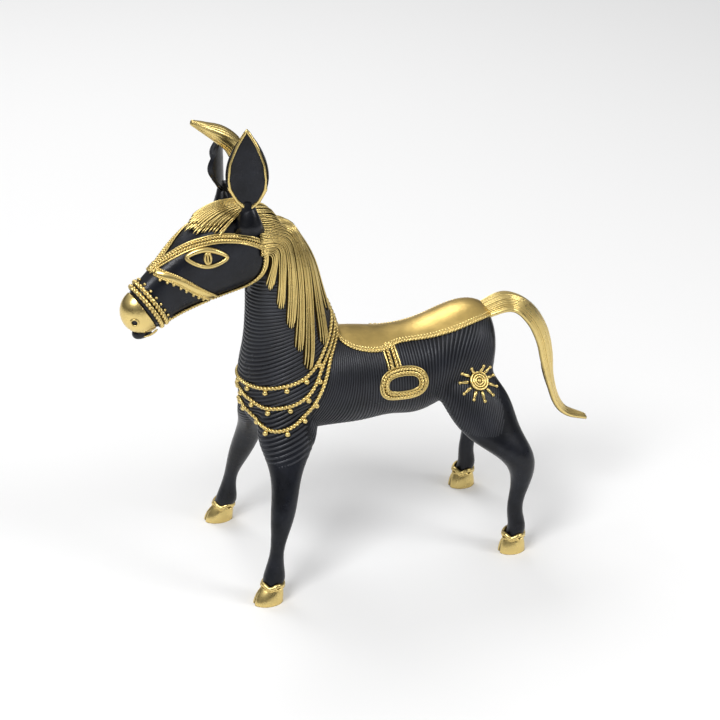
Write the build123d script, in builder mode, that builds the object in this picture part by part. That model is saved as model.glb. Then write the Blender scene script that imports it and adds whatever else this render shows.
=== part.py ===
from build123d import *
import math
import os

os.makedirs("parts", exist_ok=True)

# A cast and thread-wound brass horse, standing free on four hooves.
# The nose points along -X, the horse's left side is -Y, the ground is Z = 0.

# ---- driving sizes, all in millimetres or degrees ----
stand_height = 97.0  # middle of the barrel above the ground
barrel_radius = 22.0
body_front = -61.22
body_length = 131.5
wall = 3.0  # thickness of the cast body wall
neck_rise = 83.0  # poll of the neck above the middle of the barrel
neck_radius = 16.0
neck_x = body_front + 21.5
head_length = 80.0
head_depth = 19.5  # half the height of the cheek
head_width = 14.0  # half the width of the cheek
head_yaw = 10.0  # the head looks a little to the horse's left
front_splay = 43.5  # a front hoof's distance from the middle plane
rear_splay = 36.0
front_step = 17.0  # a front hoof stands this far ahead of the shoulder
rear_step = 18.0
leg_radius = 4.7  # the slim cannon of every leg
hoof_radius = 5.6
band_height = 4.0
spigot_radius = 4.0
spigot_depth = 9.0
sheet_height = 1.3  # saddle sheet above the skin
rope_height = 1.9  # twisted rope trim above the skin
rope_width = 2.4
bead_height = 2.7
bead_radius = 1.6
mane_height = 2.4
forelock_height = 4.5
saddle_half_width = 12.0
strap_width = 7.6
ring_length = 27.0
ring_height = 17.0
sun_radius = 5.0
sun_reach = 11.0
sun_rays = 11
muzzle_length = 11.0
nostril_radius = 1.5
nostril_spread = 10.0
strip_width = 4.2
nose_strap_width = 3.6
eye_length = 20.0
eye_height = 9.4
ear_spread = 13.0
ear_height = 40.0
far_ear_height = 31.0  # the right ear is cast shorter
ear_width = 20.0
ear_wall = 1.3
ear_bend = 13.0  # radius that the leaf of the ear is curled to
ear_stub = 5.0
plume_height = 42.0
tail_wall = 1.4
tail_wire = 1.1

left, right = -1, 1

# Loft stations: share of the body length, then offset of the middle, half height and
# half width as multiples of the barrel radius.
barrel_stations = [
    (0.0, 0.0, 0.38, 0.34),
    (0.035, 0.0, 0.78, 0.64),
    (0.09, 0.0, 1.0, 0.92),
    (0.21, 0.02, 1.1, 1.07),
    (0.38, 0.0, 1.1, 1.05),
    (0.57, -0.06, 1.0, 1.0),
    (0.74, 0.03, 1.0, 1.0),
    (0.87, 0.25, 1.02, 0.98),
    (0.95, 0.33, 0.92, 0.84),
    (0.985, 0.38, 0.68, 0.58),
    (1.0, 0.4, 0.36, 0.3),
]
# Share of the neck's rise, then offset of the middle, half length and half width as
# multiples of the neck radius.
neck_stations = [
    (0.02, 0.0, 1.3, 1.2),
    (0.18, 0.1, 1.46, 1.28),
    (0.34, 0.22, 1.44, 1.14),
    (0.52, 0.1, 1.25, 1.0),
    (0.7, -0.03, 1.1, 0.92),
    (0.88, -0.2, 0.94, 0.84),
    (1.04, -0.34, 0.62, 0.7),
]
# Share of the head's length, drop of the middle below the poll and half height as
# multiples of the head depth, half width as a multiple of the head width, tilt in degrees,
# and how boxy the ring is (2 is an ellipse).
head_stations = [
    (-0.02, -0.02, 0.62, 0.8, 6.0, 2.2),
    (0.16, 0.1, 0.98, 1.0, 14.0, 2.6),
    (0.38, 0.26, 0.98, 0.96, 21.0, 2.8),
    (0.57, 0.6, 0.83, 0.76, 27.0, 2.6),
    (0.72, 0.93, 0.7, 0.61, 30.0, 2.3),
    (0.86, 1.31, 0.6, 0.62, 30.0, 2.0),
]
# Share of the way from hip to hoof in height, then the share of the step and of the
# splay that is reached there, and the two half widths as multiples of the leg radius.
front_leg_stations = [
    (1.0, -0.1, 0.24, 3.3, 2.1),
    (0.83, -0.12, 0.38, 3.15, 2.3),
    (0.7, 0.04, 0.54, 2.3, 1.95),
    (0.565, 0.24, 0.72, 1.5, 1.5),
    (0.47, 0.37, 0.8, 1.36, 1.34),
    (0.37, 0.53, 0.87, 1.05, 1.05),
    (0.2, 0.75, 0.94, 0.94, 0.94),
    (0.09, 0.88, 0.98, 1.02, 1.0),
]
rear_leg_stations = [
    (1.0, -0.08, 0.28, 3.6, 2.1),
    (0.86, 0.06, 0.52, 3.7, 2.4),
    (0.72, 0.36, 0.72, 3.35, 2.2),
    (0.6, 0.84, 0.88, 2.45, 1.85),
    (0.5, 1.18, 0.94, 1.64, 1.5),
    (0.39, 1.2, 0.95, 1.1, 1.1),
    (0.2, 1.05, 0.97, 0.92, 0.92),
    (0.09, 0.98, 1.0, 1.02, 0.98),
]
front_hip_x = body_front + 16.0
rear_hip_x = body_front + 114.5
head_pivot_x = neck_x - 6.0
head_pivot_z = stand_height + neck_rise
trim_bury = 60.0  # cutting tools reach well through what they cut


def lofted(planes_and_radii):
    with BuildPart() as block:
        for plane, across, up in planes_and_radii:
            with BuildSketch(plane):
                Ellipse(across, up)
        loft()
    return block.part


def barrel(grow=0.0):
    rings = []
    for share, lift, tall, wide in barrel_stations:
        end_shift = {0.0: -grow, 1.0: grow}.get(share, 0.0)
        middle = (body_front + share * body_length + end_shift, 0, stand_height + lift * barrel_radius)
        plane = Plane(origin=middle, x_dir=(0, 1, 0), z_dir=(1, 0, 0))
        rings.append((plane, wide * barrel_radius + grow, tall * barrel_radius + grow))
    return lofted(rings)


def neck(grow=0.0):
    rings = []
    for share, shift, long, wide in neck_stations:
        end_shift = grow if share > 1 else 0.0
        middle = (neck_x + shift * neck_radius, 0, stand_height + share * neck_rise + end_shift)
        plane = Plane(origin=middle, x_dir=(1, 0, 0), z_dir=(0, 0, 1))
        rings.append((plane, long * neck_radius + grow, wide * neck_radius + grow))
    return lofted(rings)


def leg(stations, hip_x, step, splay, side, grow=0.0):
    rings = []
    for share, reach, spread, long, wide in stations:
        middle = (hip_x + reach * step, side * spread * splay, share * stand_height)
        plane = Plane(origin=middle, x_dir=(1, 0, 0), z_dir=(0, 0, 1))
        rings.append((plane, long * leg_radius + grow, wide * leg_radius + grow))
    return lofted(rings)


def front_leg(side, grow=0.0):
    return leg(front_leg_stations, front_hip_x, -front_step, front_splay, side, grow)


def rear_leg(side, grow=0.0):
    return leg(rear_leg_stations, rear_hip_x, rear_step, rear_splay, side, grow)


# Head directions: "ahead" runs along the nose, "across" to the horse's right.
ahead = Vector(-math.cos(math.radians(head_yaw)), -math.sin(math.radians(head_yaw)), 0)
across = Vector(-math.sin(math.radians(head_yaw)), math.cos(math.radians(head_yaw)), 0)
head_side = Plane(origin=(head_pivot_x, 0, head_pivot_z), x_dir=ahead, z_dir=across)


def head_ring_plane(share, drop, tilt, extra=0.0):
    run = ahead * math.cos(math.radians(tilt)) + Vector(0, 0, -math.sin(math.radians(tilt)))
    middle = head_side.origin + ahead * (share * head_length) + Vector(0, 0, -drop * head_depth)
    return Plane(origin=middle + run * extra, x_dir=across, z_dir=run)


def boxy_ring(half_width, half_height, power, count=16):
    points = []
    for index in range(count):
        angle = 0.5 * math.pi + 2 * math.pi * index / count  # starts on the head's middle plane
        side, up = math.cos(angle), math.sin(angle)
        points.append((
            math.copysign(half_width * abs(side) ** (2 / power), side),
            math.copysign(half_height * abs(up) ** (2 / power), up),
        ))
    return points


def head(grow=0.0):
    with BuildPart() as block:
        for share, drop, tall, wide, tilt, power in head_stations:
            ring = boxy_ring(wide * head_width + grow, tall * head_depth + grow, power)
            with BuildSketch(head_ring_plane(share, drop, tilt)):
                with BuildLine():
                    Spline(*ring, periodic=True)
                make_face()
        loft()
    return block.part


def skin(grow=0.0):
    with BuildPart() as block:
        add(barrel(grow))
        add(neck(grow))
        add(head(grow))
        for side in (left, right):
            add(front_leg(side, grow))
            add(rear_leg(side, grow))
    return block.part


def cut_from(block, *tools):
    with BuildPart() as piece:
        add(block)
        for tool in tools:
            add(tool, mode=Mode.SUBTRACT)
    return piece.part


def common(block, tool):
    with BuildPart() as piece:
        add(block)
        add(tool, mode=Mode.INTERSECT)
    return piece.part


def band_tool(plane, points, width, reach, both=True):
    """Prism over a band of even width along a smooth line through the points."""
    path = Spline(*points)
    count = 2 * len(points)
    upper, lower = [], []
    for index in range(count + 1):
        spot = path @ (index / count)
        run = path % (index / count)
        aside = Vector(-run.Y, run.X) * (0.5 * width)
        upper.append(spot + aside)
        lower.append(spot - aside)
    with BuildPart() as tool:
        with BuildSketch(plane):
            with BuildLine():
                Spline(*upper)
                Spline(*lower)
                Line(upper[0], lower[0])
                Line(upper[-1], lower[-1])
            make_face()
        extrude(amount=reach, both=both)
    return tool.part


def outline_tool(plane, points, reach, both=False):
    """Prism over a closed outline of straight sides."""
    with BuildPart() as tool:
        with BuildSketch(plane):
            with BuildLine():
                Polyline(*points, close=True)
            make_face()
        extrude(amount=reach, both=both)
    return tool.part


def save(piece, name):
    piece.label = name
    export_step(piece, f"parts/{name}.step")
    print(name, len(piece.solids()), round(piece.volume))


def applied(height, tool):
    """Trim of one height laid on the skin inside a cutting tool."""
    with BuildPart() as piece:
        add(tool)
        add(grown_skins[height], mode=Mode.INTERSECT)
        add(whole_skin, mode=Mode.SUBTRACT)
    return piece.part


whole_skin = skin()
trim_heights = {sheet_height, rope_height, bead_height, mane_height, forelock_height}
grown_skins = {height: skin(height) for height in trim_heights}
side_view = Plane.XZ


left_flank = Plane.XZ.offset(0.5 * barrel_radius)


def mirrored(piece, plane):
    with BuildPart() as other:
        add(piece)
        mirror(about=plane, mode=Mode.REPLACE)
    return other.part


def save_pair(piece, name, plane=Plane.XZ):
    """Write the left piece and its mirror image for the right side."""
    other = mirrored(piece, plane)
    save(piece, name.format("left"))
    save(other, name.format("right"))
    return piece, other


# ---- the black casting: body with its clay core, head and four legs ----

with BuildPart() as body_outer:
    add(barrel())
    add(neck())

with BuildPart() as clay_core:
    add(barrel(-wall))
    add(neck(-wall))


def spigot(stations, hip_x, step, splay):
    share, reach, spread, _, _ = stations[1]
    foot_share, foot_reach, foot_spread, _, _ = stations[2]
    top = Vector(hip_x + reach * step, left * spread * splay, share * stand_height)
    low = Vector(hip_x + foot_reach * step, left * foot_spread * splay, foot_share * stand_height)
    run = (low - top).normalized()
    with BuildPart() as peg:
        with BuildSketch(Plane(origin=top - run * spigot_depth, z_dir=run)):
            Circle(spigot_radius)
        extrude(amount=2 * spigot_depth)
    return peg.part


leg_kinds = (
    ("front", front_leg, (front_leg_stations, front_hip_x, -front_step, front_splay)),
    ("rear", rear_leg, (rear_leg_stations, rear_hip_x, rear_step, rear_splay)),
)
pegs = []
for end_name, leg_shape, leg_sizes in leg_kinds:
    peg = common(spigot(*leg_sizes), body_outer.part)
    pegs += [peg, mirrored(peg, Plane.XZ)]
    with BuildPart() as one_leg:
        add(leg_shape(left))
        add(body_outer.part, mode=Mode.SUBTRACT)
        add(peg)
    save_pair(one_leg.part, end_name + "_{}_leg")

with BuildPart() as collar:
    with BuildSketch(Plane.XY.offset(head_pivot_z - neck_radius)):
        with Locations((head_pivot_x - spigot_radius, 0)):
            Circle(spigot_radius)
    extrude(amount=2 * neck_radius)
head_collar = common(collar.part, body_outer.part)

with BuildPart() as head_casting:
    add(head())
    add(body_outer.part, mode=Mode.SUBTRACT)
    add(head_collar)
save(head_casting.part, "head_casting")

save(cut_from(body_outer.part, clay_core.part, head_collar, *pegs), "body_casting")
save(cut_from(clay_core.part, head_collar, *pegs), "clay_core")

# ---- gold hooves with their fetlock bands ----


def ring_block(middle, inner, outer, low, high):
    with BuildPart() as block:
        with BuildSketch(Plane.XY.offset(low)):
            with Locations(middle):
                Circle(outer)
                Circle(inner, mode=Mode.SUBTRACT)
        extrude(amount=high - low)
    return block.part


for end_name, leg_shape, (stations, hip_x, step, splay) in leg_kinds:
    ankle_share, ankle_reach, ankle_spread, long, wide = stations[-1]
    ankle_z = ankle_share * stand_height
    ankle = (hip_x + ankle_reach * step, left * ankle_spread * splay)
    sole_middle = (hip_x + step - 0.2 * hoof_radius, left * splay)
    with BuildPart() as hoof:
        with BuildSketch(Plane.XY):
            with Locations(sole_middle):
                Ellipse(1.25 * hoof_radius, hoof_radius)
        with BuildSketch(Plane.XY.offset(0.45 * ankle_z)):
            with Locations(sole_middle):
                Ellipse(1.18 * hoof_radius, 0.96 * hoof_radius)
        with BuildSketch(Plane.XY.offset(ankle_z)):
            with Locations(ankle):
                Ellipse(long * leg_radius, wide * leg_radius)
        loft()
    save_pair(hoof.part, end_name + "_{}_hoof")
    with BuildPart() as fetlock_band:
        add(ring_block(ankle, 0.5 * leg_radius, hoof_radius + 0.7, ankle_z - 0.4 * band_height,
                       ankle_z + 0.6 * band_height))
        fillet(fetlock_band.edges().filter_by(GeomType.CIRCLE).group_by(SortBy.RADIUS)[-1], 1.2)
        add(leg_shape(left), mode=Mode.SUBTRACT)
        add(hoof.part, mode=Mode.SUBTRACT)
    save_pair(fetlock_band.part, end_name + "_{}_fetlock_band")

# ---- muzzle: a polished gold cap with two nostrils, over a small black lower lip ----


def head_axis(share):
    """Drop and tilt of the head's axis at any share of its length."""
    for near, far in zip(head_stations, head_stations[1:]):
        if share <= far[0]:
            break
    part = (share - near[0]) / (far[0] - near[0])
    return near[1] + part * (far[1] - near[1]), near[4] + part * (far[4] - near[4])


def dome(start_plane, radius_across, radius_up, length):
    rings = []
    for share in (0.0, 0.3, 0.55, 0.75, 0.88, 0.96, 0.99):
        taper = math.sqrt(1 - share * share)
        rings.append((start_plane.offset(share * length), radius_across * taper, radius_up * taper))
    return lofted(rings)


muzzle_share, muzzle_drop, muzzle_tall, muzzle_wide, muzzle_tilt, _ = head_stations[-1]
muzzle_plane = head_ring_plane(muzzle_share, muzzle_drop, muzzle_tilt)
muzzle_across = muzzle_wide * head_width
muzzle_up = muzzle_tall * head_depth

with BuildPart() as muzzle_cap:
    add(dome(muzzle_plane, muzzle_across, muzzle_up, muzzle_length))
    with BuildSketch(muzzle_plane.offset(muzzle_length)):
        with GridLocations(nostril_spread, 1, 2, 1):
            Circle(nostril_radius)
    extrude(amount=-0.6 * muzzle_length, mode=Mode.SUBTRACT)
save(muzzle_cap.part, "muzzle_cap")

lip_plane = Plane(
    origin=muzzle_plane.origin - Vector(0, 0, 0.85 * muzzle_up),
    x_dir=muzzle_plane.x_dir,
    z_dir=muzzle_plane.z_dir,
)
with BuildPart() as lower_lip:
    add(dome(lip_plane.offset(-0.2 * muzzle_length), 0.55 * muzzle_across, 0.36 * muzzle_up, 0.75 * muzzle_length))
    add(muzzle_cap.part, mode=Mode.SUBTRACT)
    add(whole_skin, mode=Mode.SUBTRACT)
save(lower_lip.part, "lower_lip")

# ---- necklaces: three rope strands over the chest, each with hanging beads ----

withers_x = body_front + 46.5
withers_z = stand_height + 2.0 * barrel_radius
chest_x = body_front - 4.0
strand_names = ("upper", "middle", "lower")
strand_drops = (7.5, 1.5, -4.5)  # height of each strand on the chest, above the barrel middle
strand_sags = (0.5, -4.0, -8.5)  # extra sag over the shoulder
strand_tools = []
strand_paths = []
for index, name in enumerate(strand_names):
    back = index * 2.8
    front_z = stand_height + strand_drops[index]
    path = (
        (chest_x, front_z),
        (chest_x + 13.0, front_z + strand_sags[index]),
        (chest_x + 31.0, front_z + 5.0 + 0.6 * strand_sags[index]),
        (withers_x - 7.5 + back, stand_height + 27.5 - index),
        (withers_x + back, withers_z - 1.5 * back),
    )
    tool = cut_from(band_tool(side_view, path, rope_width, trim_bury), *strand_tools)
    strand_tools.append(tool)
    strand_paths.append(path)
    save(applied(rope_height, tool), f"{name}_necklace")

for name, path in zip(strand_names, strand_paths):
    line = Spline(*path)
    with BuildPart() as studs:
        with BuildSketch(left_flank):
            for share in (0.24, 0.38, 0.52, 0.66):
                spot = line @ share
                with Locations((spot.X, spot.Y - 0.5 * rope_width - bead_radius)):
                    Circle(bead_radius)
        extrude(amount=trim_bury)
    with BuildPart() as beads:
        add(applied(bead_height, cut_from(studs.part, *strand_tools)))
        mirror(about=Plane.XZ)
    save(beads.part, f"{name}_necklace_beads")

# ---- saddle sheet with its rope edge ----

saddle_front = body_front + 45.0
saddle_length = 86.0
saddle_outline = [
    (0.03, 0.6),
    (0.09, 1.04),
    (0.19, 1.2),
    (0.29, 1.14),
    (0.38, 0.88),
    (0.48, 0.88),
    (0.6, 1.0),
    (0.76, 1.12),
    (0.9, 0.94),
    (0.98, 0.42),
]


def saddle_tool(inset):
    half = [(saddle_front + inset, 0)]
    for share, wide in saddle_outline:
        half.append((saddle_front + inset + share * (saddle_length - 2 * inset), wide * saddle_half_width - inset))
    half.append((saddle_front + saddle_length - inset, 0))
    with BuildPart() as tool:
        with BuildSketch(Plane.XY.offset(stand_height + 0.3 * barrel_radius)):
            with BuildLine():
                Spline(*half)
                Spline(*[(x, -y) for x, y in half])
            make_face()
        extrude(amount=2.2 * barrel_radius)
    return tool.part


saddle_outer = cut_from(saddle_tool(0), *strand_tools)
saddle_inner = saddle_tool(rope_width)
saddle_sheet = applied(sheet_height, common(saddle_inner, saddle_outer))
save(saddle_sheet, "saddle_sheet")
saddle_rope = applied(rope_height, cut_from(saddle_outer, saddle_inner))
save(saddle_rope, "saddle_rope_edge")

# ---- stirrup straps, stirrup rings and sun ornaments, one of each on both flanks ----

strap_x = body_front + 72.5
strap_top = stand_height + 24.0
ring_middle = (strap_x + 4.5, stand_height + 1.0)
sun_middle = (body_front + 116.5, stand_height - 4.0)

with BuildPart() as strap_tool:
    with BuildSketch(left_flank):
        with Locations((strap_x, 0.5 * (strap_top + ring_middle[1] + 0.5 * ring_height))):
            Rectangle(strap_width, strap_top - ring_middle[1] - 0.5 * ring_height)
    extrude(amount=trim_bury)

with BuildPart() as ring_tool:
    with BuildSketch(left_flank):
        with Locations(ring_middle):
            RectangleRounded(ring_length, ring_height, 0.42 * ring_height)
            RectangleRounded(ring_length - 10.0, ring_height - 9.0, 0.4 * (ring_height - 9.0), mode=Mode.SUBTRACT)
    extrude(amount=trim_bury)

with BuildPart() as sun_disc_tool:
    with BuildSketch(left_flank):
        with Locations(sun_middle):
            Circle(sun_radius)
    extrude(amount=trim_bury)

with BuildPart() as sun_ray_tool:
    with BuildSketch(left_flank):
        with Locations(sun_middle):
            with PolarLocations(0.5 * (sun_radius + sun_reach) + 0.3, sun_rays):
                SlotOverall(sun_reach - sun_radius - 0.2, 1.9)
    extrude(amount=trim_bury)

save_pair(applied(rope_height, cut_from(strap_tool.part, saddle_outer)), "{}_stirrup_strap")
save_pair(applied(rope_height, cut_from(ring_tool.part, strap_tool.part)), "{}_stirrup_ring")
save_pair(applied(bead_height, sun_disc_tool.part), "{}_sun_disc")
save_pair(applied(sheet_height, cut_from(sun_ray_tool.part, sun_disc_tool.part)), "{}_sun_rays")

# ---- bridle: brow strip, cheek strap, nose strap and jaw cord on both cheeks ----


left_outward = (Vector(0, 0, 1) - across).normalized()
left_shoulder_view = Plane(origin=head_side.origin, x_dir=ahead, z_dir=left_outward)
left_head_view = Plane(origin=head_side.origin, x_dir=ahead, z_dir=across)

with BuildPart() as left_head_half:
    with BuildSketch(left_head_view):
        Rectangle(8 * trim_bury, 8 * trim_bury)
    extrude(amount=-trim_bury)


def cheek_band(points, width):
    """Band on the left cheek, its line given as shares of head length and depth."""
    path = [(u * head_length, z * head_depth) for u, z in points]
    return band_tool(left_head_view, path, width, -trim_bury, both=False)


def brow_band(points, width):
    """Band on the head's top left shoulder, drawn square to that shoulder."""
    path = [(u * head_length, -w * head_depth) for u, w in points]
    return common(band_tool(left_shoulder_view, path, width, trim_bury), left_head_half.part)


brow_path = [(0.8, -0.2), (0.71, -0.1), (0.6, -0.04), (0.5, -0.06), (0.41, -0.1), (0.27, -0.24), (0.16, -0.4)]
cheek_path = [(0.16, 0.2), (0.12, -0.12), (0.125, -0.6), (0.18, -0.92), (0.27, -1.12), (0.4, -1.24)]
nose_path = [(0.79, -0.25), (0.68, -0.46), (0.55, -0.88), (0.42, -1.26)]
jaw_path = [(0.44, -1.26), (0.54, -1.36), (0.64, -1.5), (0.73, -1.72)]

with BuildPart() as noseband_tool:
    for share in (0.755, 0.8, 0.845):
        drop, tilt = head_axis(share)
        with BuildSketch(head_ring_plane(share, drop, tilt)):
            Rectangle(3 * head_depth, 3 * head_depth)
        extrude(amount=0.5 * rope_width, both=True)
nosebands = cut_from(applied(rope_height, noseband_tool.part), lower_lip.part)
save(nosebands, "nosebands")

brow_tool = cut_from(brow_band(brow_path, strip_width), noseband_tool.part)
nose_tool = cut_from(cheek_band(nose_path, nose_strap_width), noseband_tool.part, brow_tool)
cheek_tool = cut_from(cheek_band(cheek_path, rope_width), brow_tool, nose_tool)
jaw_tool = cut_from(cheek_band(jaw_path, rope_width), noseband_tool.part, nose_tool, cheek_tool)
bridle_tools = (
    ("brow_strip", brow_tool),
    ("nose_strap", nose_tool),
    ("cheek_strap", cheek_tool),
    ("jaw_cord", jaw_tool),
)
for name, tool in bridle_tools:
    save_pair(applied(rope_height, tool), "{}_" + name, head_side)


def hanging_drops(first, last, count, radius):
    """Small drops in a row between two places, which are shares of head length and depth."""
    with BuildPart() as tool:
        with BuildSketch(left_head_view):
            for index in range(count):
                part = index / (count - 1)
                u = first[0] + part * (last[0] - first[0])
                z = first[1] + part * (last[1] - first[1])
                with Locations((u * head_length, z * head_depth)):
                    Circle(radius)
        extrude(amount=-trim_bury)
    return applied(rope_height, cut_from(tool.part, noseband_tool.part, brow_tool, nose_tool, jaw_tool))


save_pair(hanging_drops((0.71, -0.56), (0.662, -1.36), 4, 0.7 * bead_radius), "{}_noseband_drops", head_side)
save_pair(hanging_drops((0.66, -0.72), (0.5, -1.3), 5, 0.6 * bead_radius), "{}_bridle_drops", head_side)

eye_middle = (0.49 * head_length, 0.0)
with BuildPart() as eye_tool:
    with BuildSketch(left_head_view):
        with BuildLine():
            front = (eye_middle[0] + 0.5 * eye_length, 0.09 * head_depth)
            back = (eye_middle[0] - 0.5 * eye_length, -0.09 * head_depth)
            ThreePointArc(front, (eye_middle[0], 0.5 * eye_height), back)
            ThreePointArc(back, (eye_middle[0], -0.5 * eye_height), front)
        make_face()
        with Locations(eye_middle):
            Ellipse(0.38 * eye_length, 0.3 * eye_height, rotation=5, mode=Mode.SUBTRACT)
    extrude(amount=-trim_bury)
with BuildPart() as pupil_tool:
    with BuildSketch(left_head_view):
        with Locations(eye_middle):
            Ellipse(0.07 * eye_length, 0.26 * eye_height)
    extrude(amount=-trim_bury)
save_pair(applied(sheet_height, eye_tool.part), "{}_eye_rim", head_side)
save_pair(applied(sheet_height, pupil_tool.part), "{}_pupil", head_side)

# ---- ears: a black leaf-shaped cup on a stub, with a gold wire rim ----


def ear_leaf(plane, width, height, low):
    with BuildPart() as tool:
        with BuildSketch(plane):
            with BuildLine():
                Spline((0, low), (0.5 * width, 0.42 * height), (0, height))
                Spline((0, height), (-0.5 * width, 0.42 * height), (0, low))
            make_face()
        extrude(amount=ear_width, both=True)
    return tool.part


def ear_bowl(axis, facing, spare):
    """Half a tube that the leaf of the ear is cut from, a little thicker for its rim."""
    with BuildPart() as bowl:
        with BuildSketch(Plane.XY.offset(axis.Z)):
            with Locations((axis.X, axis.Y)):
                Circle(ear_bend + spare)
                Circle(ear_bend - ear_wall - spare, mode=Mode.SUBTRACT)
        extrude(amount=2 * ear_height)
        with BuildSketch(Plane(origin=axis, z_dir=facing)):
            Rectangle(8 * ear_height, 8 * ear_height)
        extrude(amount=2 * ear_height, mode=Mode.SUBTRACT)
    return bowl.part


ears = []
stub_levels = ((-4.0, 5.4, 4.4), (0.4 * ear_stub, 4.2, 3.4), (ear_stub + 4.0, 2.6, 1.9))
for name, side, turn, height in (("left", left, -60.0, ear_height), ("right", right, 29.0, far_ear_height)):
    turned = math.radians(turn)
    facing = ahead * math.cos(turned) + across * math.sin(turned)
    ear_foot = head_side.origin + ahead * (0.22 * head_length) + across * (side * ear_spread)
    ear_foot = ear_foot + Vector(0, 0, 0.84 * head_depth)
    leaf_plane = Plane(origin=ear_foot + Vector(0, 0, ear_stub), x_dir=Vector(0, 0, 1).cross(facing), z_dir=facing)
    bend_axis = ear_foot + facing * ear_bend
    leaf = ear_leaf(leaf_plane, ear_width, height, 0)
    rim_leaf = ear_leaf(leaf_plane, ear_width + 1.6, height + 1.8, -1.2)
    with BuildPart() as ear:
        add(common(ear_bowl(bend_axis, facing, 0), leaf))
        add(lofted([(Plane(origin=ear_foot + Vector(0, 0, z)), long, wide) for z, long, wide in stub_levels]))
        add(whole_skin, mode=Mode.SUBTRACT)
    ear_rim = cut_from(common(ear_bowl(bend_axis, facing, 0.3), rim_leaf), leaf, ear.part)
    save(ear.part, f"{name}_ear")
    save(ear_rim, f"{name}_ear_rim")
    ears += [ear.part, ear_rim]

# ---- plume: a gold curl on the middle line behind the ears ----

plume_stations = [
    (0.14, 0.1, 90.0, 2.6, 2.4),
    (0.17, 0.42, 84.0, 3.0, 2.8),
    (0.19, 0.66, 76.0, 3.8, 3.8),
    (0.235, 0.9, 58.0, 4.6, 4.8),
    (0.32, 1.06, 34.0, 4.4, 4.6),
    (0.42, 1.18, 24.0, 3.0, 3.0),
    (0.5, 1.27, 22.0, 1.4, 1.4),
]
plume_rings = []
for share, lift, lean, wide, thick in plume_stations:
    run = ahead * math.cos(math.radians(lean)) + Vector(0, 0, math.sin(math.radians(lean)))
    middle = head_side.origin + ahead * (share * head_length)
    middle = middle + Vector(0, 0, 0.6 * head_depth + lift * plume_height)
    plume_rings.append((Plane(origin=middle, x_dir=across, z_dir=run), wide, thick))
plume = cut_from(lofted(plume_rings), whole_skin, *ears)
save(plume, "plume")

# ---- forelock and mane ----

forelock_outline = [(0.2, 0.72), (0.2, 2.0), (0.58, 2.0), (0.56, 0.66), (0.5, 0.62), (0.42, 0.66), (0.33, 0.62)]
forelock_points = [(u * head_length, z * head_depth) for u, z in forelock_outline]
forelock_tool = outline_tool(head_side, forelock_points, trim_bury, both=True)
brow_tools = [brow_tool, mirrored(brow_tool, head_side)]
cheek_tools = [cheek_tool, mirrored(cheek_tool, head_side)]
forelock = cut_from(applied(forelock_height, cut_from(forelock_tool, *brow_tools)), plume, *ears)
save(forelock, "forelock")

lock_tips = [(-0.64, 0.7), (-0.34, 0.56), (0.02, 0.44), (0.22, 0.3), (0.44, 0.2)]
mane_outline = [(-0.45, 1.35), (-0.5, 1.16), (-0.72, 0.98)]
for tip_x, tip_z in lock_tips:
    mane_outline += [(tip_x - 0.06, tip_z + 0.05), (tip_x, tip_z)]
    mane_outline += [(tip_x + 0.15, tip_z + 0.03), (tip_x + 0.2, tip_z + 0.12)]
mane_outline += [(1.0, 0.3), (1.5, 0.5), (2.4, 0.75), (1.9, 1.35)]
mane_points = [(neck_x + x * neck_radius, stand_height + z * neck_rise) for x, z in mane_outline]
for name, side in (("left", left), ("right", right)):
    mane_block = cut_from(
        outline_tool(side_view, mane_points, -side * trim_bury),
        *strand_tools, saddle_outer, *brow_tools, *cheek_tools, forelock_tool,
    )
    mane = cut_from(applied(mane_height, mane_block), plume, *ears)
    save(mane, f"{name}_mane")

# ---- tail: an arched gutter of sheet with a thick wire along each edge ----

tail_x = body_front + body_length - 5.0
tail_z = stand_height + 23.0
# Offset from the root, run direction, half width, gutter depth and twist of each station.
tail_stations = [
    (0.0, 0.0, 28.0, 6.5, 5.0, 0.0),
    (13.0, 3.2, 2.0, 9.5, 5.0, 0.0),
    (23.0, -4.0, -42.0, 10.0, 6.0, 8.0),
    (30.5, -15.5, -60.0, 10.0, 5.6, 18.0),
    (34.5, -28.5, -75.0, 9.8, 4.8, 22.0),
    (37.0, -42.5, -76.0, 9.0, 3.4, 14.0),
    (41.5, -55.5, -62.0, 7.2, 2.4, 12.0),
    (48.0, -64.0, -42.0, 4.8, 1.6, 5.0),
    (59.0, -69.5, -15.0, 2.6, 1.2, 0.0),
]


def tail_plane(station):
    x, z, lean, _, _, twist = station
    run = Vector(math.cos(math.radians(lean)), 0, math.sin(math.radians(lean)))
    plane = Plane(origin=(tail_x + x, 0, tail_z + z), x_dir=(0, 1, 0), z_dir=run)
    return plane.rotated((0, 0, twist))


with BuildPart() as tail_sheet_block:
    for station in tail_stations:
        half, depth = station[3], station[4]
        with BuildSketch(tail_plane(station)):
            with BuildLine():
                ThreePointArc((-half, 0), (0, depth), (half, 0))
                Line((half, 0), (half - tail_wall, 0))
                ThreePointArc((half - tail_wall, 0), (0, depth - tail_wall), (tail_wall - half, 0))
                Line((tail_wall - half, 0), (-half, 0))
            make_face()
    loft()
tail_sheet = cut_from(tail_sheet_block.part, whole_skin, saddle_sheet, saddle_rope)
save(tail_sheet, "tail_sheet")

with BuildPart() as tail_wires:
    for side in (left, right):
        wire_rings = []
        for station in tail_stations:
            plane = tail_plane(station)
            edge = plane.from_local_coords((side * (station[3] - 0.5 * tail_wall), -0.4 * tail_wire))
            wire_rings.append((Plane(origin=edge, z_dir=plane.z_dir), tail_wire, tail_wire))
        add(lofted(wire_rings))
save(cut_from(tail_wires.part, tail_sheet, whole_skin, saddle_sheet, saddle_rope), "tail_edge_wires")
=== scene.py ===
import math
import bmesh
import bpy
import numpy as np
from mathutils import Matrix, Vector, noise
from mathutils.bvhtree import BVHTree


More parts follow.
